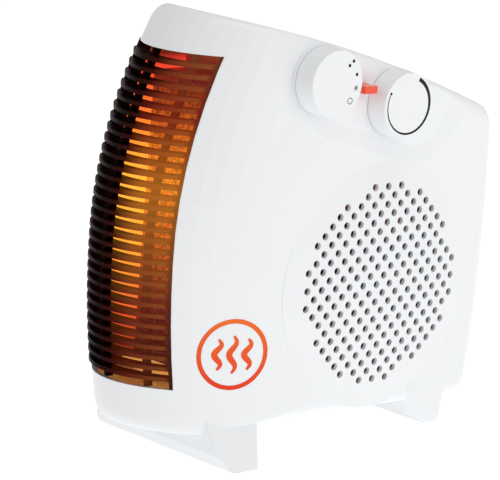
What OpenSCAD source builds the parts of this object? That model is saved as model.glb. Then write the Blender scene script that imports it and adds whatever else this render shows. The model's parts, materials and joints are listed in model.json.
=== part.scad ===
// Upright ceramic fan heater: a narrow bowed outlet in front, a shallow domed intake on one side,
// two rotary controls above it and two full-width feet. Everything is laid out around the fan axis,
// which runs along X, and the finished body is then leaned back by the height of the front foot.

/* [Body form] */
// Width between the two flat sides
body_w = 118; // [112:1:142]
// Height of the shallow dome of the intake side
dome_h = 3.7; // [2:0.1:5]
// Radius of the rim of the dome
dome_r = 71; // [62:1:72]
// Reach of the nose of the front in front of the fan axis
nose_reach = 153; // [147:1:186]
// Height of the nose above the fan axis
nose_h = 25; // [17:1:32]
// Radius of the bow of the front above its nose, seen from the side
bow_r = 218; // [195:1:262]
// Radius of the bow of the front below its nose
low_bow_r = 450; // [375:5:540]
// Depth over which the front rounds into the sides
front_round = 91; // [80:1:96]
// Reach of the back behind the fan axis
rear_reach = 85.7; // [84:0.1:110]
// Radius of the slight bow of the back
rear_bow_r = 900; // [700:50:1500]
// Height of the top above the fan axis where it meets the front
top_front_h = 153.5; // [152:0.5:185]
// Height of the top above the fan axis where it meets the back
top_rear_h = 94.5; // [93:0.5:113]
// Rise of the crowned top above the straight line between its ends
top_crown = 5.6; // [4:0.1:9]
// Depth of the underside below the fan axis
bottom_drop = 75; // [74:1:90]
// Depth of the front lip below the underside
lip_drop = 6.5; // [4:0.5:9]
// Radius of the corners of the side outline
corner_r = 10; // [7:0.5:12]
// Radius of the long edges round the two sides
edge_r = 8; // [5:0.5:10]
// Wall of the two shells
wall = 2.5; // [1.8:0.1:3]
// Width of the outer cover, from the plain side to the parting plane
cover_w = 22; // [18:0.5:23]

/* [Stance] */
// Backward lean of the whole body
lean = 4.5; // [2:0.5:6]
// Height of the fan axis above the ground
axis_h = 92; // [90:1:110]
// Reach of the foot tips beyond the flat sides
foot_flare = 0.5; // [0:0.1:3]
// Height of the front foot's front corner below the fan axis, where it leaves the lip
front_foot_top = 60; // [54:1:64]

/* [Intake] */
// Half of the spacing of the intake holes along a row
hole_step = 5.1; // [4.6:0.1:5.4]
// Diameter of an intake hole
hole_d = 4.3; // [3:0.1:4.6]
// Radius of the round field of holes, in half spacings
field_steps = 11.2; // [9:0.1:11.4]

/* [Outlet] */
// Half of the width of the outlet opening
outlet_half = 35.3; // [29:0.1:36]
// Height of the outlet's lower edge below the fan axis
outlet_low = 55; // [48:1:58]
// Height of the outlet's upper edge above the fan axis
outlet_high = 130.5; // [118:0.5:131]
// Number of slats
slat_n = 30; // [20:1:32]
// Thickness of a slat
slat_t = 2.2; // [1.4:0.1:2.6]
// Depth of a slat from its nose to its back edge
slat_depth = 8; // [6:0.5:9]
// Amount by which the slats stand proud of the body
slat_proud = 1.5; // [0.5:0.1:2.5]
// Place of the near rib, from the middle plane
near_rib_x = 22; // [14:1:26]
// Place of the far rib, from the middle plane
far_rib_x = -5; // [-20:1:4]

/* [Controls] */
// Depth of the control recess below the flat side
recess_depth = 1.4; // [1:0.1:1.8]
// Radius of a knob at its base
knob_r = 19.6; // [16:0.1:20.5]
// Radius of a knob at its face
knob_face_r = 18.5; // [15:0.1:18.9]
// Height of a knob
knob_h = 12.4; // [9:0.1:14]
// Radius of the knob spindles
spindle_r = 3; // [2:0.1:4]
// Place of the selector knob in front of the fan axis
selector_y = -56.1; // [-57:0.1:-52]
// Height of the selector knob above the fan axis
selector_z = 119.1; // [116:0.1:120]
// Place of the thermostat knob behind the fan axis
thermostat_y = 0; // [-1:0.1:6]
// Height of the thermostat knob above the fan axis
thermostat_z = 104.2; // [101:0.1:105]

/* [Fan and motor] */
// Radius over the blade tips
fan_r = 53; // [44:0.5:54]
// Radius of the fan hub
hub_r = 16; // [12:0.5:20]
// Number of blades
blade_n = 5; // [3:1:9]
// Pitch of the blades
blade_pitch = 33; // [20:1:40]
// Gap between the blade tips and the shroud
tip_gap = 3; // [1.5:0.5:4]
// Radius of the motor shaft
shaft_r = 2; // [1.5:0.1:2.5]
// Radius of the rotor
rotor_r = 13; // [10:0.5:14]

/* [Heating element] */
// Number of ceramic bars
bar_n = 5; // [3:1:7]
// Thickness of a ceramic bar
bar_t = 2.4; // [1.6:0.1:3]
// Depth of the element in the direction of the air
element_depth = 24; // [16:1:26]
// Number of cooling plates in one column
fin_n = 34; // [16:1:44]

/* [Cord inlet] */
// Radius of the hole for the mains lead
cord_r = 3.6; // [2.5:0.1:4.5]
// Outer radius of the gland's sleeve
gland_r = 6.5; // [6:0.1:8]

/* [Hidden] */
$fn = 48;
gap = 0.3;
run_gap = 0.05;
far_off = 400;

half_w = body_w / 2;
split_x = half_w - cover_w;
foot_half = half_w + foot_flare;
lip_z = -bottom_drop - lip_drop;
recess_x = half_w - recess_depth;
dome_ball = (dome_r * dome_r + dome_h * dome_h) / (2 * dome_h);

element_front = -100;
element_back = element_front + element_depth;
element_half = outlet_half - 2;
rail = 3;
element_low = -(outlet_low - 2);
element_high = outlet_high - 18.5;
end_cap = 6;
bracket_t = 3.2;

fan_x0 = 28;
fan_x1 = 46;
shroud_x0 = 26;
shroud_x1 = 52;
shroud_r = fan_r + tip_gap;
shroud_wall = 2;
flange_t = 2;
flange_half = 58;
mount_r = 62;

stator_x0 = -2;
stator_x1 = 12;
stator_half = 24;
limb_low = 40;
limb_high = 30;
window_half = 14;
window_top = 17;
motor_post = [19, 18];
spider_x0 = 20;
spider_x1 = 22;
shaft_x0 = -14;
bush_r = 4;

switch_depth = 17;
thermostat_depth = 9;
bore_depth = 8.3;
control_x = recess_x - wall - gap;
control_w = 26;
control_screw = 9.5;
seat_wall = 2.2;
clip_wall = 1.2;
lens_len = 9.5;
lens_h = 4.4;
lens_y = (selector_y + thermostat_y) / 2 + 1.7;
lens_z = (selector_z + thermostat_z) / 2 + 2;
lens_x1 = recess_x + 8.9;
knob_x0 = recess_x + 0.4;
knob_x1 = knob_x0 + knob_h;

gland_z = -48;
gland_x = -8;

screw_r = 1.5;
screw_gap = 0.2;
head_r = 3;
head_h = 2;
boss_r = 4;
post_in = 9;
post_len = 20;
foot_post_x = 24;
foot_post_h = 12;
foot_seat = 4;
front_foot_y = -94;
rear_foot_y = 50;

// ---- Curves of the body ----

// Front of the body on the middle plane, at height z
function front_y(z) = -nose_reach + pow(z - nose_h, 2) / (2 * (z > nose_h ? bow_r : low_bow_r));

// How far the front has rounded back at a distance x from the middle plane
function front_inset(x, w = half_w, d = front_round) = d * (1 - sqrt(max(0, 1 - pow(x / w, 2))));

// Top of the body at the place y
function top_z(y) =
  let (start = -115, t = (y - start) / (rear_reach - start))
  top_front_h + (top_rear_h - top_front_h) * t + 4 * top_crown * t * (1 - t);

// Back of the body at height z
function rear_y(z) = rear_reach - pow(z - nose_h, 2) / (2 * rear_bow_r);

// How far the outline has shrunk at a distance x from the middle plane, by the rounded long edges
function edge_shrink(x, w) = let (d = max(0, abs(x) - w + edge_r)) edge_r - sqrt(edge_r * edge_r - d * d);

// ---- Helpers ----

// Puts what is drawn around the fan axis on its feet, leaned back, over the middle of its own box
module stand() {
  nose = -(nose_reach + slat_proud) * cos(lean) + nose_h * sin(lean);
  tail_z = top_rear_h - corner_r;
  tail = (rear_y(tail_z) - corner_r) * cos(lean) + tail_z * sin(lean) + corner_r;
  translate([(foot_half - knob_x1) / 2, -(nose + tail) / 2, axis_h]) rotate([-lean, 0, 0]) children();
}

// Extrudes a shape drawn in Y and Z from x0 to x1
module along_x(x0, x1) {
  translate([x0, 0, 0]) rotate([90, 0, 90]) linear_extrude(x1 - x0) children();
}

// A round bar along X
module rod_x(r, x0, x1, y = 0, z = 0) {
  translate([x0, y, z]) rotate([0, 90, 0]) cylinder(r = r, h = x1 - x0);
}

// A round bar along Y
module rod_y(r, y0, y1, x = 0, z = 0) {
  translate([x, y0, z]) rotate([-90, 0, 0]) cylinder(r = r, h = y1 - y0);
}

// A box given by its lowest and highest corners
module block(low, high) {
  translate(low) cube(high - low);
}

// Points of a soft corner from a to b, round the sharp corner k
function bend(a, k, b) =
  [for (i = [0:5]) let (t = i / 5) (1 - t) * (1 - t) * a + 2 * t * (1 - t) * k + t * t * b];

// Sharp upper corners of the outline, found by going to and fro between the two curves that meet there
function front_top(inset, shrink, z = top_front_h, turns = 8) =
  turns == 0 ? [front_y(z) + inset, z]
             : front_top(inset, shrink, top_z(front_y(z) + inset) - shrink, turns - 1);
function rear_top(shrink, z = top_rear_h, turns = 8) =
  turns == 0 ? [rear_y(z) - shrink, z] : rear_top(shrink, top_z(rear_y(z) - shrink) - shrink, turns - 1);

// Side outline at a distance x from the middle plane, with the whole surface moved in by t
function side_ring(x, t) =
  let (w = half_w - t,
       inset = front_inset(x, w, front_round - t) + t,
       shrink = edge_shrink(x, w) + t,
       r = max(2, corner_r - shrink / 2),
       chin = lip_drop * min(1, max(0, (50 - inset) / 20)),
       floor_z = -bottom_drop + shrink,
       low = floor_z - chin,
       a = [front_y(low) + inset, low],
       b = front_top(inset, shrink),
       c = rear_top(shrink),
       d = [rear_y(floor_z) - shrink, floor_z],
       step_y = max(front_foot_y + boss_r + 1 - t, a[0] + 3 * r),
       a_up = [front_y(low + r) + inset, low + r],
       b_down = [front_y(b[1] - r) + inset, b[1] - r],
       b_back = [b[0] + r, top_z(b[0] + r) - shrink],
       c_front = [c[0] - r, top_z(c[0] - r) - shrink],
       c_down = [rear_y(c[1] - r) - shrink, c[1] - r],
       d_up = [rear_y(d[1] + r) - shrink, d[1] + r],
       d_front = [d[0] - r, floor_z])
  concat(
    [for (i = [0:11]) let (z = a_up[1] + (b_down[1] - a_up[1]) * i / 12) [front_y(z) + inset, z]],
    bend(b_down, b, b_back),
    [for (i = [1:7]) let (y = b_back[0] + (c_front[0] - b_back[0]) * i / 8) [y, top_z(y) - shrink]],
    bend(c_front, c, c_down),
    [for (i = [1:3]) let (z = c_down[1] + (d_up[1] - c_down[1]) * i / 4) [rear_y(z) - shrink, z]],
    bend(d_up, d, d_front),
    [[step_y + 6, floor_z], [step_y, low]],
    [for (i = [0:4]) bend([a[0] + 0.6 * r, low], a, a_up)[i]]
  );

// The outer form with its whole surface moved in by t, as a skin over rings across the width
module body_form(t, step = 7.5) {
  w = half_w - t;
  angles = [for (a = [-90:step:90]) a];
  rings = [for (a = angles) side_ring(w * sin(a), t)];
  n = len(rings[0]);
  last = len(angles) - 1;
  points = [for (i = [0:last]) for (p = rings[i]) [w * sin(angles[i]), p[0], p[1]]];
  skin = [for (i = [0:last - 1], j = [0:n - 1]) let (k = (j + 1) % n)
    each [[i * n + j, (i + 1) * n + k, (i + 1) * n + j], [i * n + j, i * n + k, (i + 1) * n + k]]];
  ends = [for (j = [0:n - 1]) let (k = (j + 1) % n)
    each [[n * last + n, n * last + j, n * last + k], [n * last + n + 1, k, j]]];
  polyhedron(points = concat(points, [[w, 0, 0], [-w, 0, 0]]), faces = concat(skin, ends));
}

// Cap of a large ball over the intake side, moved in by t and ending inside the flat wall
module dome(t, r, depth) {
  intersection() {
    translate([half_w + dome_h - dome_ball, 0, 0]) rotate([0, 0, 180]) sphere(r = dome_ball - t, $fn = 240);
    rod_x(r, half_w - depth, half_w + dome_h + 1);
  }
}

// Shallow recess round the two knobs, with a wide soft slope, running out over the top
module knob_recess() {
  rise = 3;
  slope = 7;
  floor_r = knob_r + 6.4;
  low_end = [thermostat_y + 20, thermostat_z];
  high_end = [selector_y - 39, selector_z + 17];
  hull() for (p = [low_end, high_end])
    translate([recess_x, p[0], p[1]]) rotate([0, 90, 0])
      cylinder(r1 = floor_r, r2 = floor_r + rise * slope, h = rise);
}

// Field of intake holes in a diagonal lattice
module intake_holes() {
  limit = floor(field_steps);
  for (i = [-limit:limit], j = [-limit:limit])
    if ((i + j) % 2 != 0 && i * i + j * j <= field_steps * field_steps && !field_corner(i, j))
      rod_x(hole_d / 2, half_w - 8, half_w + dome_h + 2, i * hole_step, j * hole_step);
}

// The eight places at the rim of the field that stay closed
function field_corner(i, j) =
  (abs(i) == 10 && abs(j) == 5 && i * j > 0) || (abs(i) == 5 && abs(j) == 10 && i * j < 0);

// Screw along +X with its head at x0
module screw_x(x0, x1, y, z) {
  rod_x(head_r, x0, x0 + head_h, y, z);
  rod_x(screw_r, x0 + head_h, x1, y, z);
}

// Screw pointing up with its head at z0
module screw_up(x, y, z0, z1) {
  translate([x, y, z0]) cylinder(r = head_r, h = head_h);
  translate([x, y, z0 + head_h]) cylinder(r = screw_r, h = z1 - z0 - head_h);
}

// ---- Casing ----

// Places of the five screws that join the shells, each with the way to its nearest wall
function shell_posts() = [
  [[-30, top_z(-30) - post_in], [0, 1]],
  [[rear_y(64) - post_in, 64], [1, 0]],
  [[rear_y(-50) - post_in, -50], [1, 0]],
  [[-20, -bottom_drop + post_in], [0, -1]],
  [[-62, -bottom_drop + post_in], [0, -1]]
];

// Posts for the shell screws between x0 and x1, each with a web to the wall beside it
module posts(x0, x1) {
  for (p = shell_posts()) {
    rod_x(boss_r, x0, x1, p[0][0], p[0][1]);
    along_x(x0, x1) translate(p[0]) rotate(atan2(p[1][1], p[1][0])) translate([0, -1]) square([post_in, 2]);
  }
}

module near_shell() {
  color("white") stand() difference() {
    union() {
      intersection() {
        body_form(0);
        block([-split_x, -far_off, -far_off], [far_off, far_off, far_off]);
        union() {
          difference() {
            block([-far_off, -far_off, -far_off], [far_off, far_off, far_off]);
            body_form(wall, 15);
          }
          near_inside();
        }
      }
      dome(0, dome_r + 2, 1);
      rod_x(knob_r + 0.2, half_w - 9, recess_x, selector_y, selector_z);
    }
    dome(wall, dome_r - 4, wall + 1);
    rod_x(knob_r - seat_wall, half_w - 10, recess_x - wall, selector_y, selector_z);
    knob_recess();
    intake_holes();
    block([-outlet_half, -far_off, -outlet_low], [outlet_half, -78, outlet_high]);
    for (c = controls()) {
      rod_x(spindle_r + 1.6, recess_x - 10, recess_x + 5, c[0], c[1]);
      for (y = screw_places(c)) rod_x(screw_r + screw_gap, recess_x - 10, recess_x + 5, y, c[1]);
    }
    lens_slot();
    rod_y(gland_r, 0, far_off, gland_x, gland_z);
    for (p = shell_posts()) rod_x(screw_r, -split_x - 1, -split_x + post_len - 4, p[0][0], p[0][1]);
    foot_holes(front_foot_y, lip_z);
    foot_holes(rear_foot_y, -bottom_drop);
  }
}

// Centres of the two controls
function controls() = [[selector_y, selector_z], [thermostat_y, thermostat_z]];

// Places along Y of the two screws that hold the control at c
function screw_places(c) = [c[0] - control_screw, c[0] + control_screw];

// What the near shell has inside its wall: posts, foot bosses and the floor of the recess
module near_inside() {
  posts(-split_x, -split_x + post_len);
  foot_bosses(front_foot_y, lip_z);
  foot_bosses(rear_foot_y, -bottom_drop);
  for (c = controls()) rod_x(knob_r + 0.2, recess_x - wall, half_w, c[0], c[1]);
  block([recess_x - wall, selector_y, lens_z - 12], [half_w, thermostat_y, lens_z + 8]);
}

module lens_slot() {
  block([recess_x - 20, lens_y - lens_len / 2, lens_z - lens_h / 2],
        [recess_x + 20, lens_y + lens_len / 2, lens_z + lens_h / 2]);
}

module foot_bosses(y, floor_z) {
  for (x = [-foot_post_x, foot_post_x]) translate([x, y, floor_z]) cylinder(r = boss_r, h = foot_post_h);
}

module foot_holes(y, floor_z) {
  for (x = [-foot_post_x, foot_post_x])
    translate([x, y, lip_z - 1]) cylinder(r = screw_r, h = floor_z + foot_post_h - lip_z);
}

module far_shell() {
  color("white") stand() difference() {
    intersection() {
      body_form(0);
      block([-far_off, -far_off, -far_off], [-split_x, far_off, far_off]);
      union() {
        difference() {
          block([-far_off, -far_off, -far_off], [far_off, far_off, far_off]);
          body_form(wall, 15);
        }
        posts(-half_w, -split_x);
      }
    }
    for (p = shell_posts()) {
      rod_x(screw_r + gap, -half_w, -split_x + 1, p[0][0], p[0][1]);
      rod_x(head_r + gap, -half_w - 1, -split_x - 4, p[0][0], p[0][1]);
    }
  }
}

// ---- Feet ----

// A full-width foot: its side profile, cut to its flared ends, to the ground and to the body it seats on
module foot(profile, tip, flare, toe) {
  difference() {
    intersection() {
      along_x(-half_w - 5, half_w + 5) offset(r = 3) offset(delta = -3) polygon(profile);
      foot_end(tip, flare, toe);
      mirror([1, 0, 0]) foot_end(tip, flare, toe);
    }
    body_form(0);
    rotate([lean, 0, 0]) block([-far_off, -far_off, -far_off], [far_off, far_off, -axis_h]);
  }
}

// Everything inwards of one flared end face, which passes through the foot's tip
module foot_end(tip, flare, toe) {
  translate([foot_half, tip[0], tip[1]]) rotate([0, -flare, -toe])
    translate([-far_off, -far_off / 2, -far_off / 2]) cube(far_off);
}

module front_foot() {
  color("white") stand() difference() {
    foot([[-112, -front_foot_top], [-109, -80], [-106.5, -92], [-102, -98.5], [-95, -axis_h - 12],
          [-85, -axis_h - 12], [-79, -76], [-74, -68]], [-97, -99], 23.6, 10.9);
    foot_screw_seats(front_foot_y, lip_z);
  }
}

module rear_foot() {
  color("white") stand() difference() {
    foot([[29, -62], [31, -67], [42, -83.5], [46.5, -88.5], [49, -axis_h - 2], [56.5, -axis_h - 2],
          [58.5, -82], [61, -66]], [52, -88], 1, 0);
    foot_screw_seats(rear_foot_y, -bottom_drop);
  }
}

// Clearance and head seats of a foot's two screws
module foot_screw_seats(y, floor_z) {
  for (x = [-foot_post_x, foot_post_x]) translate([x, y, -axis_h - 20]) {
    cylinder(r = screw_r + screw_gap, h = 80);
    cylinder(r = head_r + screw_gap, h = axis_h + 20 + floor_z - foot_seat);
  }
}

// ---- Outlet ----

// Plan of a slat, a strip that follows the rounded front
module slat_plan(half, depth) {
  steps = 8;
  edge = [for (i = [-steps:steps]) let (x = half * i / steps) [x, front_inset(x)]];
  polygon(concat(edge, [for (i = [2 * steps:-1:0]) [edge[i][0], edge[i][1] + depth]]));
}

// Upright strip that follows the bow of the front between two depths behind it
module bow_strip(x, t, start, end) {
  edge = [for (i = [0:12]) let (z = -outlet_low + gap + (outlet_low + outlet_high - 2 * gap) * i / 12) z];
  along_x(x - t / 2, x + t / 2) polygon(concat(
    [for (z = edge) [front_y(z) + front_inset(x) + start, z]],
    [for (i = [12:-1:0]) [front_y(edge[i]) + front_inset(x) + end, edge[i]]]));
}

module outlet_grille() {
  pitch = (outlet_low + outlet_high) / (slat_n + 1);
  half = outlet_half - gap;
  color([0.24, 0.1, 0.06]) stand() {
    for (i = [1:slat_n]) {
      z = -outlet_low + pitch * i;
      translate([0, front_y(z) - slat_proud, z - slat_t / 2]) linear_extrude(slat_t)
        slat_plan(half, slat_depth + slat_proud);
    }
    for (x = [near_rib_x, far_rib_x]) bow_strip(x, 2.4, 2.5, slat_depth - 1);
    for (x = [-half + 0.8, half - 0.8]) bow_strip(x, 1.6, 0, slat_depth + 2);
  }
}

// Sheet-metal sleeve from the grille back to the heating element, closed above the element
module outlet_duct() {
  sheet = 1;
  half = outlet_half - gap;
  low = -outlet_low + gap;
  high = outlet_high - gap;
  color("silver") stand() {
    for (side = [-1, 1]) duct_wall(side * (half - sheet / 2), sheet, low, high);
    for (z = [low, high - sheet]) block([-half, duct_front(z), z], [half, element_back, z + sheet]);
    block([-half, element_back - 2, element_high], [half, element_back - 1, high]);
  }
}

// Front edge of the duct at height z, just behind the grille's side strips
function duct_front(z) = front_y(z) + front_inset(outlet_half) + slat_depth + 2 + gap;

module duct_wall(x, t, low, high) {
  steps = 8;
  along_x(x - t / 2, x + t / 2) polygon(concat(
    [for (i = [0:steps]) let (z = low + (high - low) * i / steps) [duct_front(z), z]],
    [[element_back, high], [element_back, low]]));
}

// ---- Heating element ----

module heater_frame() {
  color([0.16, 0.16, 0.17]) stand() difference() {
    block([-element_half, element_front, element_low], [element_half, element_back, element_high]);
    block([-element_half + rail, element_front - 1, element_low + end_cap],
          [element_half - rail, element_back + 1, element_high - end_cap]);
    for (x = bracket_screws()) rod_y(screw_r, element_back - 8, element_back + 2, x, element_high - 3);
  }
}

// Places along X of the two screws that hold the bracket on the frame
function bracket_screws() = [-element_half / 2, element_half / 2];

// Width of one column of cooling plates between two bars
function fin_w() = (2 * (element_half - rail) - bar_n * bar_t) / (bar_n + 1);

module ceramic_bars() {
  color([0.9, 0.45, 0.1]) stand() for (i = [1:bar_n]) {
    x = -element_half + rail + i * fin_w() + (i - 1) * bar_t;
    block([x, element_front + 3, element_low + end_cap],
          [x + bar_t, element_back - 3, element_high - end_cap]);
  }
}

module heater_fins() {
  fin_t = 0.5;
  low = element_low + end_cap + 1;
  high = element_high - end_cap - 1;
  color("silver") stand() for (i = [0:bar_n]) {
    x = -element_half + rail + i * (fin_w() + bar_t);
    for (side = [0, 1]) {
      x0 = x + side * (fin_w() - fin_t);
      block([x0, element_front + 2, low], [x0 + fin_t, element_back - 2, high]);
    }
    for (k = [0:fin_n - 1]) {
      z = low + (high - low - fin_t) * k / (fin_n - 1);
      block([x, element_front + 2, z], [x + fin_w(), element_back - 2, z + fin_t]);
    }
  }
}

module heater_terminals() {
  color("gold") stand() for (i = [-1:1]) {
    block([i * 18 - 3, element_back, element_low + 1], [i * 18 + 3, element_back + 9, element_low + 1.8]);
  }
}

module thermal_cutout() {
  x = 12;
  y = element_back + bracket_t;
  z = element_high - 16;
  cap_h = 6;
  color([0.12, 0.12, 0.12]) stand() union() {
    rod_y(8, y, y + cap_h, x, z);
    block([x - 9, y + cap_h, z - 2], [x + 9, y + cap_h + 1, z + 2]);
  }
}

module cutout_bracket() {
  color("silver") stand() difference() {
    union() {
      block([-22, element_back + 2, element_high - 26], [22, element_back + bracket_t, element_high]);
      block([-22, element_back, element_high - 6], [22, element_back + 2, element_high]);
    }
    for (x = bracket_screws())
      rod_y(screw_r + screw_gap, element_back - 1, element_back + 8, x, element_high - 3);
  }
}

module thermal_fuse() {
  color("gold") stand() rod_x(2, -18, -6, element_back + bracket_t + 2.2, element_high - 20);
}

module element_screws() {
  seat = element_back + bracket_t;
  color("silver") stand() for (x = bracket_screws()) {
    rod_y(head_r, seat, seat + head_h, x, element_high - 3);
    rod_y(screw_r, element_back - 6, seat, x, element_high - 3);
  }
}

// ---- Fan and motor ----

// Places of the screws that hold the spider on the shroud
function spider_points() = [for (a = [45:90:315]) [mount_r * cos(a), mount_r * sin(a)]];

module fan_shroud() {
  color([0.2, 0.2, 0.22]) stand() difference() {
    union() {
      rod_x(shroud_r + shroud_wall, shroud_x0, shroud_x1);
      block([shroud_x0, -flange_half, -flange_half], [shroud_x0 + flange_t, flange_half, flange_half]);
    }
    rod_x(shroud_r, shroud_x0 - 1, shroud_x1 + 1);
    for (p = spider_points()) rod_x(screw_r, shroud_x0 - 1, shroud_x0 + 5, p[0], p[1]);
  }
}

module impeller() {
  color([0.25, 0.25, 0.27]) stand() difference() {
    union() {
      difference() {
        union() {
          rod_x(hub_r, fan_x0, fan_x1);
          intersection() {
            rod_x(fan_r, fan_x0 - 1, fan_x1 + 1);
            for (i = [0:blade_n - 1]) rotate([360 * i / blade_n, 0, 0]) blade();
          }
        }
        rod_x(hub_r - 3, fan_x0 - 2, fan_x1 - 4);
      }
      rod_x(shaft_r + 3, fan_x0 + 1, fan_x1 - 2);
    }
    rod_x(shaft_r, fan_x0 - 1, fan_x1 - 3);
  }
}

// One flat blade, pitched about its own radius
module blade() {
  chord = 34;
  thick = 1.6;
  translate([(fan_x0 + fan_x1) / 2, 0, 0]) rotate([0, 0, blade_pitch])
    translate([-thick / 2, -chord / 2, hub_r - 1]) cube([thick, chord, fan_r]);
}

// Places of the four screws that hold the motor on the spider
function motor_posts() = [for (y = [-1, 1], z = [-1, 1]) [y * motor_post[0], z * motor_post[1]]];

module motor_stator() {
  color([0.45, 0.46, 0.48]) stand() along_x(stator_x0, stator_x1) difference() {
    polygon([[-stator_half, -limb_low], [stator_half, -limb_low], [stator_half, stator_half],
             [-stator_half, stator_half]]);
    circle(r = rotor_r + 0.4);
    translate([-window_half, -limb_high]) square([2 * window_half, limb_high - window_top]);
    for (p = motor_posts()) translate(p) circle(r = screw_r + screw_gap);
  }
}

module motor_coil() {
  build = 7;
  fit = 0.2;
  color([0.72, 0.36, 0.16]) stand() difference() {
    block([stator_x0 - build, -window_half + 1, -limb_low - build],
          [stator_x1 + build, window_half - 1, -window_top - 2]);
    block([stator_x0 - fit, -window_half, -limb_low - fit],
          [stator_x1 + fit, window_half, -limb_high + fit]);
  }
}

module motor_rotor() {
  color("silver") stand() difference() {
    rod_x(rotor_r, stator_x0, stator_x1);
    rod_x(shaft_r, stator_x0 - 1, stator_x1 + 1);
  }
}

module motor_shaft() {
  color("silver") stand() rod_x(shaft_r, shaft_x0, fan_x1 - 3);
}

// Strap with two legs and a round seat for its bushing, from the stator's face at x0 outwards
module bearing_bracket(x0, dir) {
  plate = 1.6;
  off = 4.5;
  a = x0 + dir * off;
  b = a + dir * plate;
  color("silver") stand() difference() {
    union() {
      along_x(min(a, b), max(a, b)) square([46, 14], center = true);
      for (y = [-motor_post[0], motor_post[0]]) rod_x(3, min(x0, a), max(x0, a), y, 0);
      rod_x(bush_r + 1.5, min(a, b), max(a, b));
    }
    rod_x(bush_r, x0 - 20, x0 + 20);
  }
}

module front_bearing_bracket() bearing_bracket(stator_x1, 1);
module rear_bearing_bracket() bearing_bracket(stator_x0, -1);

module shaft_bushings() {
  color([0.7, 0.5, 0.25]) stand() for (x = [stator_x1 + 2.5, stator_x0 - 7.5]) difference() {
    rod_x(bush_r, x, x + 5);
    rod_x(shaft_r + run_gap, x - 1, x + 6);
  }
}

module motor_spider() {
  color([0.55, 0.56, 0.58]) stand() difference() {
    union() {
      rod_x(32, spider_x0, spider_x1);
      for (p = spider_points()) rotate([atan2(p[1], p[0]), 0, 0])
        block([spider_x0, 20, -5], [spider_x1, mount_r + 4, 5]);
      for (p = spider_points()) rod_x(4, spider_x1, shroud_x0, p[0], p[1]);
      for (p = motor_posts()) rod_x(4, stator_x1, spider_x0, p[0], p[1]);
    }
    rod_x(14, spider_x0 - 1, spider_x1 + 1);
    for (p = spider_points()) rod_x(screw_r + screw_gap, spider_x0 - 1, shroud_x0 + 1, p[0], p[1]);
    for (p = motor_posts()) rod_x(screw_r, stator_x1 - 1, spider_x1 + 1, p[0], p[1]);
  }
}

module motor_screws() {
  color("silver") stand() for (p = motor_posts())
    screw_x(stator_x0 - head_h, spider_x1, p[0], p[1]);
}

module shroud_screws() {
  color("silver") stand() for (p = spider_points())
    screw_x(spider_x0 - head_h, shroud_x0 + 2, p[0], p[1]);
}

// ---- Controls ----

// Body of a rotary control behind the recess floor, with a bore for its spindle and two screw holes
module control_body(c, h, depth) {
  difference() {
    union() {
      block([control_x - depth, c[0] - control_w / 2, c[1] - h / 2],
            [control_x, c[0] + control_w / 2, c[1] + h / 2]);
      rod_x(spindle_r + 1.3, control_x - 1, recess_x, c[0], c[1]);
    }
    rod_x(spindle_r + run_gap, control_x - bore_depth, recess_x + 1, c[0], c[1]);
    for (y = screw_places(c)) rod_x(screw_r, control_x - bore_depth, control_x + 1, y, c[1]);
  }
}

module selector_switch() {
  color([0.12, 0.12, 0.13]) stand() control_body(controls()[0], 22, switch_depth);
}

module thermostat_body() {
  c = controls()[1];
  color([0.85, 0.82, 0.74]) stand() union() {
    control_body(c, 20, thermostat_depth);
    block([control_x - 22, c[0] + 5, c[1] - 5], [control_x - thermostat_depth, c[0] + 11, c[1] + 5]);
  }
}

module thermostat_blade() {
  c = controls()[1];
  color([0.75, 0.6, 0.35]) stand()
    block([control_x - 18, c[0] - 24, c[1] - 4], [control_x - 17, c[0] + 5, c[1] + 4]);
}

// Spindle from inside its control to inside its knob
module spindle(c) {
  rod_x(spindle_r, control_x - bore_depth + gap, knob_x1 - 3, c[0], c[1]);
}

module selector_spindle() {
  color("silver") stand() spindle(controls()[0]);
}

module thermostat_spindle() {
  color("silver") stand() spindle(controls()[1]);
}

// Hollow knob with a tapered skirt and a central boss on its spindle
module knob(c) {
  skin = 2.2;
  difference() {
    translate([knob_x0, c[0], c[1]]) rotate([0, 90, 0])
      cylinder(r1 = knob_r, r2 = knob_face_r, h = knob_h, $fn = 96);
    difference() {
      rod_x(knob_face_r - skin, knob_x0 - 1, knob_x1 - skin, c[0], c[1]);
      rod_x(spindle_r + 2.2, knob_x0, knob_x1, c[0], c[1]);
    }
    rod_x(spindle_r, knob_x0 - 1, knob_x1 - 3, c[0], c[1]);
  }
}

module selector_knob() {
  color("white") stand() knob(controls()[0]);
}

module thermostat_knob() {
  color("white") stand() knob(controls()[1]);
}

// Screws through the recess floor, hidden under the knobs
module control_screws() {
  color("silver") stand() for (c = controls(), y = screw_places(c)) {
    rod_x(head_r, recess_x, recess_x + head_h, y, c[1]);
    rod_x(screw_r, control_x - bore_depth + 1, recess_x, y, c[1]);
  }
}

module pilot_lens() {
  slot_gap = 0.1;
  color([0.95, 0.25, 0.05]) stand()
    block([recess_x - 6, lens_y - lens_len / 2 + slot_gap, lens_z - lens_h / 2 + slot_gap],
          [lens_x1, lens_y + lens_len / 2 - slot_gap, lens_z + lens_h / 2 - slot_gap]);
}

module pilot_lamp() {
  lamp_r = 2.5;
  color([1, 0.6, 0.3]) stand() rod_x(lamp_r, recess_x - 22, recess_x - 6.4, lens_y, lens_z);
}

// ---- Wiring ----

module terminal_block() {
  floor_z = -bottom_drop + wall + gap;
  color([0.92, 0.92, 0.88]) stand() difference() {
    block([-32, 8, floor_z], [-2, 24, floor_z + 12]);
    for (x = [-27, -17, -7]) rod_y(2, 2, 32, x, floor_z + 6);
  }
}

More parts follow.
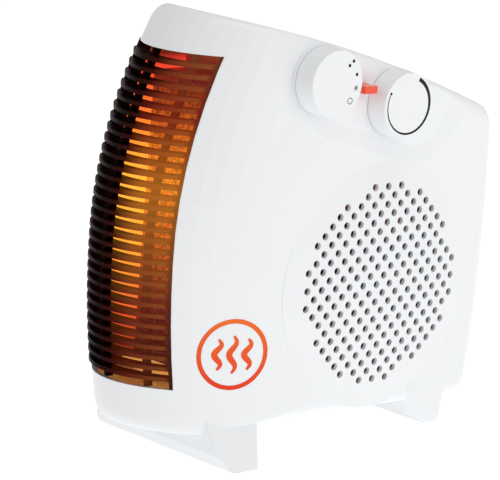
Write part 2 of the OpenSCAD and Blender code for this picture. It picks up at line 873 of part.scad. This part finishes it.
module cord_gland() {
  outside = rear_y(gland_z);
  inside = outside - wall;
  color([0.93, 0.93, 0.92]) stand() difference() {
    union() {
      rod_y(gland_r - 0.1, inside - 3, outside + 1, gland_x, gland_z);
      rod_y(gland_r + 2, outside + 0.4, outside + 2.4, gland_x, gland_z);
      rod_y(gland_r + 1.4, inside - 3.4, inside - 0.8, gland_x, gland_z);
    }
    rod_y(cord_r, inside - 20, outside + 20, gland_x, gland_z);
  }
}

// Wire laid through its points, with a small square clip at each bend
module wire(points, r) {
  for (i = [0:len(points) - 2]) wire_piece(points[i], points[i + 1], r);
  for (p = points) translate(p) cube(2 * r + clip_wall, center = true);
}

module wire_piece(a, b, r) {
  d = b - a;
  translate(a) rotate([0, acos(d[2] / norm(d)), atan2(d[1], d[0])]) cylinder(r = r, h = norm(d));
}

module supply_leads() {
  r = 1.3;
  color([0.5, 0.3, 0.15]) stand() {
    wire([[-27, 26, -66], [-30, 40, -40], [-30, 45, 60], [-10, 30, 80], [30, -40, 100], [34, -50, 112]], r);
    wire([[-17, 26, -66], [-22, 60, -40], [-22, 60, 60], [10, 40, 80], [29, 8, 104]], r);
  }
}

module heater_leads() {
  r = 1.3;
  back = element_back + 11;
  color([0.8, 0.12, 0.1]) stand() {
    wire([[-18, back, -51.6], [-27, -57, -40], [-24, -53, 96], [30, -61, 110]], r);
    wire([[18, back, -51.6], [12, -58, -64], [-8, -6, -67.5], [-16, 5, -65.5]], r);
  }
}

module motor_leads() {
  r = 1;
  color([0.15, 0.25, 0.6]) stand() {
    wire([[-10.6, 6, -36], [-20, 25, -44], [-20, 32, 50], [-22, -30, 84], [34, -52, 124]], r);
    wire([[-10.6, -6, -36], [-22, -8, -56], [-27, 6, -66]], r);
  }
}

// ---- Fasteners ----

module shell_screws() {
  color("silver") stand() for (p = shell_posts())
    screw_x(-split_x - 4 - head_h, -split_x + post_len - 8, p[0][0], p[0][1]);
}

module foot_screws() {
  feet = [[front_foot_y, lip_z], [rear_foot_y, -bottom_drop]];
  color("silver") stand() for (f = feet, x = [-foot_post_x, foot_post_x])
    screw_up(x, f[0], f[1] - foot_seat - head_h, f[1] + foot_post_h - 2);
}

near_shell();
far_shell();
front_foot();
rear_foot();
outlet_grille();
outlet_duct();
heater_frame();
ceramic_bars();
heater_fins();
heater_terminals();
thermal_cutout();
cutout_bracket();
thermal_fuse();
fan_shroud();
impeller();
motor_stator();
motor_coil();
motor_rotor();
motor_shaft();
front_bearing_bracket();
rear_bearing_bracket();
shaft_bushings();
motor_spider();
motor_screws();
selector_switch();
selector_spindle();
selector_knob();
thermostat_body();
thermostat_blade();
thermostat_spindle();
thermostat_knob();
control_screws();
pilot_lens();
pilot_lamp();
terminal_block();
cord_gland();
supply_leads();
heater_leads();
motor_leads();
shell_screws();
foot_screws();
shroud_screws();
element_screws();
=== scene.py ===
# Looks of the ceramic fan heater over its CAD frame, in metres and on the frame's own axes.
import json
import math

import bmesh
import bpy
from mathutils import Matrix, Vector
from mathutils.bvhtree import BVHTree


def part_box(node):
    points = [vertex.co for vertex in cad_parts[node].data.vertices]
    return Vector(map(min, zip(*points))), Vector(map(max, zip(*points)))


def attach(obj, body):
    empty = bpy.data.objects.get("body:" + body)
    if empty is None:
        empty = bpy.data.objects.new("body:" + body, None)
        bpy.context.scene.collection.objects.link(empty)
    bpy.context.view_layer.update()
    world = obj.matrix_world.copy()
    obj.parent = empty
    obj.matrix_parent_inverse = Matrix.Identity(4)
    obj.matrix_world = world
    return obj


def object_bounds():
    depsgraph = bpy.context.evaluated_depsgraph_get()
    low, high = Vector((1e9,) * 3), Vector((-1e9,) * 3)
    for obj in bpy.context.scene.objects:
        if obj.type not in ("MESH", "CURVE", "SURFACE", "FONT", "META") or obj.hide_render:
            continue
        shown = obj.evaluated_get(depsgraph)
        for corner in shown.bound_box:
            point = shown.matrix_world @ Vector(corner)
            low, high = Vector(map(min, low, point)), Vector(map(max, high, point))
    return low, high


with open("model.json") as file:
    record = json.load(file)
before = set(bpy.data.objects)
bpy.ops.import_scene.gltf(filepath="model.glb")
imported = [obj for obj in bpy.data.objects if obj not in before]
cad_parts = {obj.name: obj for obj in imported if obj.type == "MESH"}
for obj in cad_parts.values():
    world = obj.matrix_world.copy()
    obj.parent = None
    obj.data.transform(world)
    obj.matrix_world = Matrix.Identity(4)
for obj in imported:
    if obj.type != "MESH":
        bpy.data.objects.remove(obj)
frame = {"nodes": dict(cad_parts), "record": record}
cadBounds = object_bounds()
nodes = frame["nodes"]
record = frame["record"]


def jointPlace(name):
    for joint in record["behaviour"]["joints"]:
        if joint["name"] == name:
            return Vector(joint["pos_m"])


# The heater leans back about the fan axis. Pieces are laid out in its upright frame: x from the
# middle plane, y back from the fan axis and z up from it.
fanPlace = jointPlace("fan_spin")
inletAxis = Vector(record["mounts"][0]["axis"])
leanAngle = math.atan2(inletAxis.z, inletAxis.y)
grilleLow, grilleHigh = (Vector(corner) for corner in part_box("outlet_grille"))
middleX = (grilleLow.x + grilleHigh.x) / 2
leaned = Matrix.Translation((middleX, fanPlace.y, fanPlace.z)) @ Matrix.Rotation(leanAngle, 4, "X")
upright = leaned.inverted()


def uprightBox(name):
    places = [upright @ vertex.co for vertex in nodes[name].data.vertices]
    low = Vector([min(place[i] for place in places) for i in range(3)])
    high = Vector([max(place[i] for place in places) for i in range(3)])
    return low, high


outletLow, outletHigh = uprightBox("outlet_grille")
coverLow, coverHigh = uprightBox("far_shell")


# Shader helpers.

def addNode(tree, kind, **values):
    node = tree.nodes.new(kind)
    for key, value in values.items():
        setattr(node, key, value)
    return node


def setOrLink(tree, socket, value):
    # Puts a number or a colour on a socket, or joins another node's output to it.
    if isinstance(value, bpy.types.NodeSocket):
        tree.links.new(value, socket)
    elif isinstance(value, (tuple, list)):
        socket.default_value = (*value, 1)
    else:
        socket.default_value = value


def newMaterial(name):
    material = bpy.data.materials.new(name)
    material.use_nodes = True
    tree = material.node_tree
    return material, tree, tree.nodes["Principled BSDF"]


def dress(tree, shader, **values):
    for name, value in values.items():
        setOrLink(tree, shader.inputs[name.replace("_", " ")], value)


def objectCoordinates(tree):
    coordinates = addNode(tree, "ShaderNodeTexCoord")
    mapping = addNode(tree, "ShaderNodeMapping")
    tree.links.new(coordinates.outputs["Object"], mapping.inputs["Vector"])
    return mapping.outputs["Vector"]


def uprightCoordinates(tree):
    coordinates = addNode(tree, "ShaderNodeTexCoord")
    mapping = addNode(tree, "ShaderNodeMapping", vector_type="TEXTURE")
    mapping.inputs["Location"].default_value = leaned.translation
    mapping.inputs["Rotation"].default_value = (leanAngle, 0, 0)
    tree.links.new(coordinates.outputs["Object"], mapping.inputs["Vector"])
    return mapping.outputs["Vector"]


def along(tree, vector, axis):
    split = addNode(tree, "ShaderNodeSeparateXYZ")
    tree.links.new(vector, split.inputs[0])
    return split.outputs[axis]


def mathNode(tree, operation, a, b=0.0):
    node = addNode(tree, "ShaderNodeMath", operation=operation)
    setOrLink(tree, node.inputs[0], a)
    setOrLink(tree, node.inputs[1], b)
    return node.outputs[0]


def mapRange(tree, value, low, high, outLow=0.0, outHigh=1.0, smooth=False):
    kind = "SMOOTHSTEP" if smooth else "LINEAR"
    node = addNode(tree, "ShaderNodeMapRange", interpolation_type=kind)
    node.inputs["From Min"].default_value = low
    node.inputs["From Max"].default_value = high
    node.inputs["To Min"].default_value = outLow
    node.inputs["To Max"].default_value = outHigh
    tree.links.new(value, node.inputs["Value"])
    return node.outputs["Result"]


def noise(tree, vector, scale, detail=4.0):
    node = addNode(tree, "ShaderNodeTexNoise")
    setOrLink(tree, node.inputs["Vector"], vector)
    setOrLink(tree, node.inputs["Scale"], scale)
    node.inputs["Detail"].default_value = detail
    node.inputs["Roughness"].default_value = 0.55
    return node.outputs["Fac"]


def mixColour(tree, factor, a, b):
    node = addNode(tree, "ShaderNodeMix", data_type="RGBA")
    setOrLink(tree, node.inputs[0], factor)
    setOrLink(tree, node.inputs[6], a)
    setOrLink(tree, node.inputs[7], b)
    return node.outputs[2]


def ramp(tree, factor, stops):
    node = addNode(tree, "ShaderNodeValToRGB")
    elements = node.color_ramp.elements
    while len(elements) < len(stops):
        elements.new(0.5)
    for element, (place, colour) in zip(elements, stops):
        element.position = place
        element.color = (*colour, 1)
    tree.links.new(factor, node.inputs["Fac"])
    return node.outputs["Color"]


def bump(tree, height, strength):
    node = addNode(tree, "ShaderNodeBump")
    node.inputs["Strength"].default_value = strength
    node.inputs["Distance"].default_value = 0.0002
    tree.links.new(height, node.inputs["Height"])
    return node.outputs["Normal"]


def outletHeight(tree, vector):
    # Nought at the outlet's lower edge and one at its upper edge.
    return mapRange(tree, along(tree, vector, "Z"), outletLow.z, outletHigh.z)


# Effects shared by several materials.

def makeGroup(name, inputs, outputs):
    group = bpy.data.node_groups.new(name, "ShaderNodeTree")
    for title, kind in inputs.items():
        group.interface.new_socket(title, in_out="INPUT", socket_type=kind)
    for title, kind in outputs.items():
        group.interface.new_socket(title, in_out="OUTPUT", socket_type=kind)
    return group, addNode(group, "NodeGroupInput").outputs, addNode(group, "NodeGroupOutput").inputs


def useGroup(tree, group, **values):
    node = addNode(tree, "ShaderNodeGroup", node_tree=group)
    for name, value in values.items():
        setOrLink(tree, node.inputs[name.replace("_", " ")], value)
    return node.outputs


def makeFineGrain():
    # Broad patches in the colour, and a fine grain in the roughness and the relief.
    group, given, result = makeGroup(
        "fineGrain",
        {
            "Vector": "NodeSocketVector",
            "Colour": "NodeSocketColor",
            "Roughness": "NodeSocketFloat",
            "Variation": "NodeSocketFloat",
            "Grain Size": "NodeSocketFloat",
            "Grain Depth": "NodeSocketFloat",
        },
        {"Colour": "NodeSocketColor", "Roughness": "NodeSocketFloat", "Height": "NodeSocketFloat"},
    )
    broad = noise(group, given["Vector"], 18.0, detail=2.0)
    fine = noise(group, given["Vector"], given["Grain Size"])
    patches = mapRange(group, broad, 0.3, 0.7)
    loss = mathNode(group, "MULTIPLY", patches, given["Variation"])
    shade = addNode(group, "ShaderNodeHueSaturation")
    setOrLink(group, shade.inputs["Color"], given["Colour"])
    setOrLink(group, shade.inputs["Value"], mathNode(group, "SUBTRACT", 1.0, loss))
    swing = mathNode(group, "MULTIPLY", mapRange(group, fine, 0.3, 0.7, -1.0, 1.0), given["Grain Depth"])
    rough = mathNode(group, "MULTIPLY", given["Roughness"], mathNode(group, "ADD", swing, 1.0))
    group.links.new(shade.outputs["Color"], result["Colour"])
    group.links.new(rough, result["Roughness"])
    group.links.new(fine, result["Height"])
    return group


def makePaintedGlowMottle():
    # Uneven strength of the painted glow on hot surfaces.
    group, given, result = makeGroup(
        "paintedGlowMottle",
        {"Vector": "NodeSocketVector", "Strength": "NodeSocketFloat", "Depth": "NodeSocketFloat"},
        {"Strength": "NodeSocketFloat"},
    )
    speckle = noise(group, given["Vector"], 420.0, detail=6.0)
    swing = mathNode(group, "MULTIPLY", mapRange(group, speckle, 0.42, 0.6, -1.0, 1.0), given["Depth"])
    strength = mathNode(group, "MULTIPLY", mathNode(group, "ADD", swing, 1.0), given["Strength"])
    group.links.new(strength, result["Strength"])
    return group


fineGrain = makeFineGrain()
paintedGlowMottle = makePaintedGlowMottle()


# Materials.

metalLook = {
    "classes": ("brushed_steel", "aluminium", "brass", "chrome"),
    "roughness": 0.36,
    "grain": 0.2,
}
plainLook = {
    "roughness": 0.42,
    "grain": 0.12,
    "variation": 0.12,
    "grainSize": 900.0,
    "grainDepth": 0.15,
}


def plainMaterial(name, colour, isMetal):
    material, tree, shader = newMaterial(name)
    grain = useGroup(
        tree,
        fineGrain,
        Vector=objectCoordinates(tree),
        Colour=colour,
        Roughness=metalLook["roughness"] if isMetal else plainLook["roughness"],
        Variation=plainLook["variation"],
        Grain_Size=plainLook["grainSize"],
        Grain_Depth=plainLook["grainDepth"],
    )
    relief = bump(tree, grain["Height"], metalLook["grain"] if isMetal else plainLook["grain"])
    dress(tree, shader, Base_Color=grain["Colour"], Roughness=grain["Roughness"], Normal=relief)
    shader.inputs["Metallic"].default_value = 1.0 if isMetal else 0.0
    return material


casingLook = {
    "colour": (0.86, 0.875, 0.89),
    "roughness": 0.3,
    "variation": 0.015,
    "grainSize": 420.0,
    "grainDepth": 0.02,
    "grain": 0.02,
    "seam": (0.35, 0.35, 0.36),
    "seamWidth": 0.00025,
    "seamDepth": 0.45,
}


def casingMaterial():
    # Smooth white plastic with a fine dark line where the cover meets the main shell.
    material, tree, shader = newMaterial("whiteCasing")
    look = casingLook
    grain = useGroup(
        tree,
        fineGrain,
        Vector=objectCoordinates(tree),
        Colour=look["colour"],
        Roughness=look["roughness"],
        Variation=look["variation"],
        Grain_Size=look["grainSize"],
        Grain_Depth=look["grainDepth"],
    )
    across = along(tree, uprightCoordinates(tree), "X")
    away = mathNode(tree, "ABSOLUTE", mathNode(tree, "SUBTRACT", across, coverHigh.x))
    seam = mapRange(tree, away, 0.0, look["seamWidth"], look["seamDepth"], 0.0)
    colour = mixColour(tree, seam, grain["Colour"], look["seam"])
    relief = bump(tree, grain["Height"], look["grain"])
    dress(tree, shader, Base_Color=colour, Roughness=grain["Roughness"], Normal=relief)
    return material


# Colours along the slats from the far end (0) to the near end (1), warm brown towards the near end as
# painted glow, and the painted glow that stands in for light through the plastic from the outlet's lower
# edge (0) to its upper edge (1).
grilleLook = {
    "across": [
        (0.0, (0.030, 0.007, 0.004)),
        (0.25, (0.012, 0.003, 0.002)),
        (0.42, (0.005, 0.0015, 0.0012)),
        (0.52, (0.028, 0.003, 0.002)),
        (0.7, (0.07, 0.008, 0.003)),
        (0.97, (0.15, 0.045, 0.008)),
        (1.0, (0.02, 0.006, 0.004)),
    ],
    "paintedGlowRamp": [
        (0.0, (0.03, 0.004, 0.003)),
        (0.25, (0.10, 0.013, 0.009)),
        (0.6, (0.38, 0.125, 0.012)),
        (0.82, (0.17, 0.012, 0.006)),
        (1.0, (0.12, 0.03, 0.012)),
    ],
    "paintedGlowStart": 0.56,
    "paintedGlowEnd": 0.78,
    "glow": 0.8,
    "roughness": 0.36,
    "grainSize": 700.0,
    "grainDepth": 0.15,
    "specular": 0.02,
}


def grilleMaterial():
    # Near-black at the far ends, darkest a little in from them, and warm brown towards the near ends,
    # where the brown and the emission are painted glow.
    material, tree, shader = newMaterial("darkGrille")
    look = grilleLook
    vector = uprightCoordinates(tree)
    across = mapRange(tree, along(tree, vector, "X"), outletLow.x, outletHigh.x)
    grain = useGroup(
        tree,
        fineGrain,
        Vector=vector,
        Colour=ramp(tree, across, look["across"]),
        Roughness=look["roughness"],
        Variation=0.0,
        Grain_Size=look["grainSize"],
        Grain_Depth=look["grainDepth"],
    )
    # Painted glow on the slats: emission that rises towards the near ends and follows the outlet's
    # height.
    paintedGlowMask = mapRange(tree, across, look["paintedGlowStart"], look["paintedGlowEnd"], smooth=True)
    paintedGlowColour = ramp(tree, outletHeight(tree, vector), look["paintedGlowRamp"])
    dress(
        tree,
        shader,
        Base_Color=grain["Colour"],
        Roughness=grain["Roughness"],
        Normal=bump(tree, grain["Height"], 0.1),
        Emission_Color=paintedGlowColour,
        Emission_Strength=mathNode(tree, "MULTIPLY", paintedGlowMask, look["glow"]),
        Specular_IOR_Level=look["specular"],
    )
    return material


# Painted glow colours of the hot inside, from the outlet's lower edge (0) to its upper edge (1),
# brightest a little above mid height.
coreLook = {
    "colours": [
        (0.0, (0.05, 0.012, 0.006)),
        (0.18, (0.16, 0.025, 0.015)),
        (0.38, (0.46, 0.13, 0.02)),
        (0.56, (0.65, 0.27, 0.025)),
        (0.74, (0.45, 0.11, 0.015)),
        (0.9, (0.17, 0.012, 0.008)),
        (1.0, (0.15, 0.03, 0.012)),
    ],
    "strength": 0.72,
    "mottle": 0.45,
    "roughness": 0.6,
}


def coreMaterial():
    # Hot plates and ceramic bars, emitting painted glow in the colours above.
    material, tree, shader = newMaterial("coreGlow")
    look = coreLook
    vector = uprightCoordinates(tree)
    colour = ramp(tree, outletHeight(tree, vector), look["colours"])
    paintedGlowStrength = useGroup(tree, paintedGlowMottle, Vector=vector, Strength=look["strength"], Depth=look["mottle"])
    dress(tree, shader, Base_Color=colour, Emission_Color=colour, Emission_Strength=paintedGlowStrength["Strength"])
    shader.inputs["Roughness"].default_value = look["roughness"]
    return material


# Painted reflection and glow on the duct walls, from the outlet's lower edge (0) to its upper edge (1).
ductLook = {
    "farWall": [
        (0.0, (0.10, 0.012, 0.004)),
        (0.14, (0.75, 0.10, 0.02)),
        (0.34, (0.98, 0.40, 0.04)),
        (0.55, (1.0, 0.52, 0.06)),
        (0.72, (0.96, 0.26, 0.03)),
        (0.92, (0.78, 0.05, 0.03)),
        (0.95, (0.10, 0.012, 0.006)),
        (1.0, (0.30, 0.11, 0.035)),
    ],
    "otherWalls": [
        (0.0, (0.62, 0.30, 0.07)),
        (0.03, (0.30, 0.10, 0.03)),
        (0.1, (0.04, 0.008, 0.004)),
        (0.88, (0.08, 0.008, 0.005)),
        (0.94, (0.14, 0.02, 0.01)),
        (1.0, (0.30, 0.11, 0.035)),
    ],
    "farWallWidth": 0.002,
    "blend": 0.001,
    "strength": 0.95,
    "mottle": 0.06,
    "roughness": 0.45,
}


def ductMaterial():
    # The far wall carries a painted reflection of the element, emitted and brightest at mid height; the
    # other walls stay dim but for painted glow at their lower and upper edges.
    material, tree, shader = newMaterial("ductGlow")
    look = ductLook
    vector = uprightCoordinates(tree)
    height = outletHeight(tree, vector)
    wallEnd = outletLow.x + look["farWallWidth"]
    other = mapRange(tree, along(tree, vector, "X"), wallEnd, wallEnd + look["blend"])
    farColour = ramp(tree, height, look["farWall"])
    otherColour = ramp(tree, height, look["otherWalls"])
    colour = mixColour(tree, other, farColour, otherColour)
    paintedGlowStrength = useGroup(tree, paintedGlowMottle, Vector=vector, Strength=look["strength"], Depth=look["mottle"])
    dress(tree, shader, Base_Color=colour, Emission_Color=colour, Emission_Strength=paintedGlowStrength["Strength"])
    shader.inputs["Roughness"].default_value = look["roughness"]
    return material


lensLook = {"dark": (0.70, 0.035, 0.008), "light": (0.85, 0.08, 0.012), "glow": 0.12, "coat": 0.2}


def lensMaterial():
    # Clear orange-red plastic over the pilot lamp.
    material, tree, shader = newMaterial("orangeLens")
    look = lensLook
    cloud = noise(tree, objectCoordinates(tree), 260.0)
    colour = mixColour(tree, cloud, look["dark"], look["light"])
    rough = mapRange(tree, cloud, 0.3, 0.7, 0.12, 0.25)
    dress(tree, shader, Base_Color=colour, Emission_Color=colour, Roughness=rough)
    dress(tree, shader, Emission_Strength=look["glow"], Coat_Weight=look["coat"])
    return material


inkLook = {
    "black": ((0.02, 0.02, 0.022), (0.02, 0.02, 0.022)),
    "orange": ((0.80, 0.045, 0.02), (0.90, 0.20, 0.03)),
    "specular": 0.1,
}


def inkMaterial(name):
    # Flat printing ink from its lower colour at the outlet's sill to its upper one at the fan axis.
    material, tree, shader = newMaterial(name + "Ink")
    low, high = inkLook[name]
    vector = uprightCoordinates(tree)
    blend = mapRange(tree, along(tree, vector, "Z"), outletLow.z, 0.0)
    rough = mapRange(tree, noise(tree, vector, 900.0), 0.3, 0.7, 0.4, 0.55)
    dress(tree, shader, Base_Color=mixColour(tree, blend, low, high), Roughness=rough)
    shader.inputs["Specular IOR Level"].default_value = inkLook["specular"]
    return material


# Printed marks, drawn flat with x across and y up and then laid on their surfaces.

def newPiece(name, shape, material, body):
    mesh = bpy.data.meshes.new(name)
    bmesh.ops.recalc_face_normals(shape, faces=shape.faces)
    shape.to_mesh(mesh)
    shape.free()
    piece = bpy.data.objects.new(name, mesh)
    bpy.context.collection.objects.link(piece)
    mesh.materials.append(material)
    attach(piece, body)


def ribbon(shape, path, widths):
    # A flat strip along a path, with its own width at each point.
    edges = []
    for i, point in enumerate(path):
        before = Vector(path[max(0, i - 1)])
        after = Vector(path[min(len(path) - 1, i + 1)])
        side = (after - before).normalized().orthogonal() * widths[i] / 2
        ends = (Vector(point) + side, Vector(point) - side)
        edges.append([shape.verts.new((*end, 0)) for end in ends])
    for (a, b), (c, d) in zip(edges, edges[1:]):
        shape.faces.new((a, b, d, c))


def onCircle(radius, turn):
    return radius * math.cos(math.radians(turn)), radius * math.sin(math.radians(turn))


def arcPath(radius, start, end, steps):
    return [onCircle(radius, start + (end - start) * i / steps) for i in range(steps + 1)]


def disc(shape, radius, place):
    matrix = Matrix.Translation((*place, 0))
    bmesh.ops.create_circle(shape, cap_ends=True, segments=20, radius=radius, matrix=matrix)


knobMarkLift = 0.00004


def layOnKnob(shape, knob):
    # Across turns to the back and the drawing faces out along x.
    low, high = (Vector(corner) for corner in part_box(knob))
    middle = (low + high) / 2
    facing = Matrix(((0, 0, 1, 0), (1, 0, 0, 0), (0, 1, 0, 0), (0, 0, 0, 1)))
    lift = Matrix.Translation((high.x + knobMarkLift, middle.y, middle.z))
    shape.transform(lift @ Matrix.Rotation(leanAngle, 4, "X") @ facing)


scaleLook = {
    "radius": 0.0161,
    "start": 152.9,
    "end": 425.1,
    "thin": 0.0006,
    "thick": 0.0023,
    "dot": 0.0008,
    "steps": 72,
}


def buildThermostatScale(ink):
    # A long arc that widens from a dot to its thick end.
    look = scaleLook
    shape = bmesh.new()
    steps = look["steps"]
    growth = look["thick"] - look["thin"]
    widths = [look["thin"] + growth * (i / steps) ** 1.3 for i in range(steps + 1)]
    ribbon(shape, arcPath(look["radius"], look["start"], look["end"], steps), widths)
    disc(shape, look["dot"], onCircle(look["radius"], look["start"]))
    layOnKnob(shape, "thermostat_knob")
    newPiece("thermostatScale", shape, ink, "thermostat")


# Each mark is given by its distance from the knob's axis and its turn in degrees.
selectorLook = {
    "dots": [(0.0128, 50.8), (0.0164, 48.6), (0.0148, 18.5)],
    "dotSize": 0.001,
    "starMark": (0.0144, -11.4),
    "ringMark": (0.0144, -43.6),
    "markSize": 0.0017,
    "line": 0.0004,
}


def buildSelectorMarks(ink):
    # Dots for the heat settings, a small star and a small ring.
    look = selectorLook
    shape = bmesh.new()
    for radius, turn in look["dots"]:
        disc(shape, look["dotSize"], onCircle(radius, turn))
    across, up = onCircle(*look["ringMark"])
    ring = [(across + a, up + b) for a, b in arcPath(look["markSize"], 0, 360, 24)]
    ribbon(shape, ring, [look["line"]] * len(ring))
    across, up = onCircle(*look["starMark"])
    for turn in (0, 60, 120):
        a, b = onCircle(look["markSize"], turn)
        ribbon(shape, [(across - a, up - b), (across + a, up + b)], [look["line"]] * 2)
    layOnKnob(shape, "selector_knob")
    newPiece("selectorMarks", shape, ink, "selector")


badgeLook = {
    "behindNose": 0.055,
    "aboveSill": 0.0212,
    "fromMiddle": 0.05,
    "ringRadius": 0.0192,
    "ringWidth": 0.0026,
    "waveSpacing": 0.0086,
    "waveHeight": 0.0215,
    "sideWaves": 0.82,
    "waveSwing": 0.0019,
    "waveWidth": 0.0036,
    "facing": (0.83, -0.56, 0),
    "lift": 0.00012,
}


def heatWave(shape, column):
    look = badgeLook
    tall = look["waveHeight"] * (1.0 if column == 0 else look["sideWaves"])
    steps = 28
    path = []
    widths = []
    for i in range(steps + 1):
        rise = i / steps
        swing = look["waveSwing"] * math.sin(rise * 3 * math.pi)
        path.append((column * look["waveSpacing"] + swing, (rise - 0.5) * tall))
        widths.append(look["waveWidth"] * math.sin(math.pi * (0.12 + 0.76 * rise)))
    ribbon(shape, path, widths)


def buildBadge(ink):
    # A ring round three rising waves, laid on the curve beside the outlet.
    look = badgeLook
    shape = bmesh.new()
    ring = arcPath(look["ringRadius"], 0, 360, 72)
    ribbon(shape, ring, [look["ringWidth"]] * len(ring))
    for column in (-1, 0, 1):
        heatWave(shape, column)
    facing = Vector(look["facing"]).normalized()
    across = Vector((0, 0, 1)).cross(facing)
    height = outletLow.z + look["aboveSill"]
    middle = Vector((look["fromMiddle"], outletLow.y + look["behindNose"], height))
    source = nodes["near_shell"].data
    places = [upright @ vertex.co for vertex in source.vertices]
    skin = BVHTree.FromPolygons(places, [list(face.vertices) for face in source.polygons])
    outside = cadBounds[1][0] - cadBounds[0][0]
    for vertex in shape.verts:
        start = middle + across * vertex.co.x + Vector((0, 0, vertex.co.y)) + facing * outside
        place = skin.ray_cast(start, -facing)[0]
        vertex.co = leaned @ (place + facing * look["lift"])
    newPiece("heatBadge", shape, ink, "casing")


# Edges and shading of the CAD pieces.

edgeLook = {
    "outlet_grille": 0.0009,
    "selector_knob": 0.0007,
    "thermostat_knob": 0.0007,
    "pilot_lens": 0.0004,
}


def softenEdges(name, width):
    bevel = nodes[name].modifiers.new("softEdges", "BEVEL")
    bevel.width = width
    bevel.segments = 3
    bevel.limit_method = "ANGLE"
    bevel.angle_limit = math.radians(35)


def shadeSmooth(name):
    mesh = nodes[name].data
    mesh.shade_smooth()
    mesh.set_sharp_from_angle(angle=math.radians(28))


def flattenSides(name):
    flatter = nodes[name].modifiers.new("flatSides", "WEIGHTED_NORMAL")
    flatter.keep_sharp = True
    flatter.weight = 100


# Stage, lights and camera.

stageLook = {"floorSize": 8, "floor": (0.95, 0.95, 0.95), "floorLift": 0.42, "skyStrength": 0.56}


def buildStage():
    shape = bmesh.new()
    bmesh.ops.create_grid(shape, x_segments=1, y_segments=1, size=stageLook["floorSize"])
    floorMesh = bpy.data.meshes.new("floor")
    shape.to_mesh(floorMesh)
    shape.free()
    floor = bpy.data.objects.new("floor", floorMesh)
    bpy.context.collection.objects.link(floor)
    paper, tree, shader = newMaterial("floorPaper")
    dress(tree, shader, Base_Color=stageLook["floor"], Roughness=0.95, Specular_IOR_Level=0.0)
    dress(tree, shader, Emission_Color=(1, 1, 1), Emission_Strength=stageLook["floorLift"])
    floorMesh.materials.append(paper)


def buildSky():
    # White where the camera sees it and softer as a light.
    world = bpy.data.worlds.new("studio")
    bpy.context.scene.world = world
    world.use_nodes = True
    tree = world.node_tree
    background = tree.nodes["Background"]
    rays = addNode(tree, "ShaderNodeLightPath")
    seen = rays.outputs["Is Camera Ray"]
    strength = mapRange(tree, seen, 0.0, 1.0, stageLook["skyStrength"], 1.0)
    dress(tree, background, Color=(1, 1, 1), Strength=strength)
    bpy.context.scene.view_settings.view_transform = "Standard"


# Area lights: where each stands, its width and its power in watts.
lightLook = {
    "sideLight": {"place": (2.2, 0.3, 1.1), "size": 1.6, "power": 8},
    "topLight": {"place": (0.3, 0.4, 2.4), "size": 1.8, "power": 13},
}


def buildLights():
    middle = (Vector(cadBounds[0]) + Vector(cadBounds[1])) / 2
    for name, look in lightLook.items():
        light = bpy.data.lights.new(name, "AREA")
        light.size = look["size"]
        light.energy = look["power"]
        lamp = bpy.data.objects.new(name, light)
        lamp.location = look["place"]
        lamp.rotation_euler = (middle - lamp.location).to_track_quat("-Z", "Y").to_euler()
        bpy.context.collection.objects.link(lamp)


cameraLook = {
    "place": (1.3193, -1.1842, 0.5819),
    "aim": (-0.0063, -0.0144, 0.1115),
    "roll": -1.147,
    "lens": 230.4,
}


def buildCamera():
    look = cameraLook
    data = bpy.data.cameras.new("camera")
    data.lens = look["lens"]
    data.sensor_width = 36
    data.clip_end = 50
    camera = bpy.data.objects.new("camera", data)
    bpy.context.collection.objects.link(camera)
    place = Vector(look["place"])
    turn = (Vector(look["aim"]) - place).to_track_quat("-Z", "Y").to_matrix().to_4x4()
    roll = Matrix.Rotation(math.radians(-look["roll"]), 4, "Z")
    camera.matrix_world = Matrix.Translation(place) @ turn @ roll
    bpy.context.scene.camera = camera


print("stage")
buildStage()
buildSky()
buildLights()
buildCamera()

print("materials")
slotMaterials = {}
for entry in record["materials"]:
    isMetal = entry["class"] in metalLook["classes"]
    slotMaterials[entry["slot"]] = plainMaterial(entry["slot"], tuple(entry["base_color"][:3]), isMetal)
slotMaterials["white_casing"] = casingMaterial()
slotMaterials["dark_grille"] = grilleMaterial()
slotMaterials["orange_lens"] = lensMaterial()
nodeMaterials = {part["node"]: slotMaterials[part["material_slot"]] for part in record["subparts"]}
nodeMaterials["outlet_duct"] = ductMaterial()
for name in ("heater_fins", "ceramic_bars", "heater_frame"):
    nodeMaterials[name] = coreMaterial()
for name, material in nodeMaterials.items():
    nodes[name].data.materials.clear()
    nodes[name].data.materials.append(material)

print("edges and shading")
for name in nodeMaterials:
    shadeSmooth(name)
for name in ("near_shell", "far_shell"):
    flattenSides(name)
for name, width in edgeLook.items():
    softenEdges(name, width)

print("printed marks")
blackInk = inkMaterial("black")
orangeInk = inkMaterial("orange")
buildThermostatScale(blackInk)
buildSelectorMarks(blackInk)
buildBadge(orangeInk)
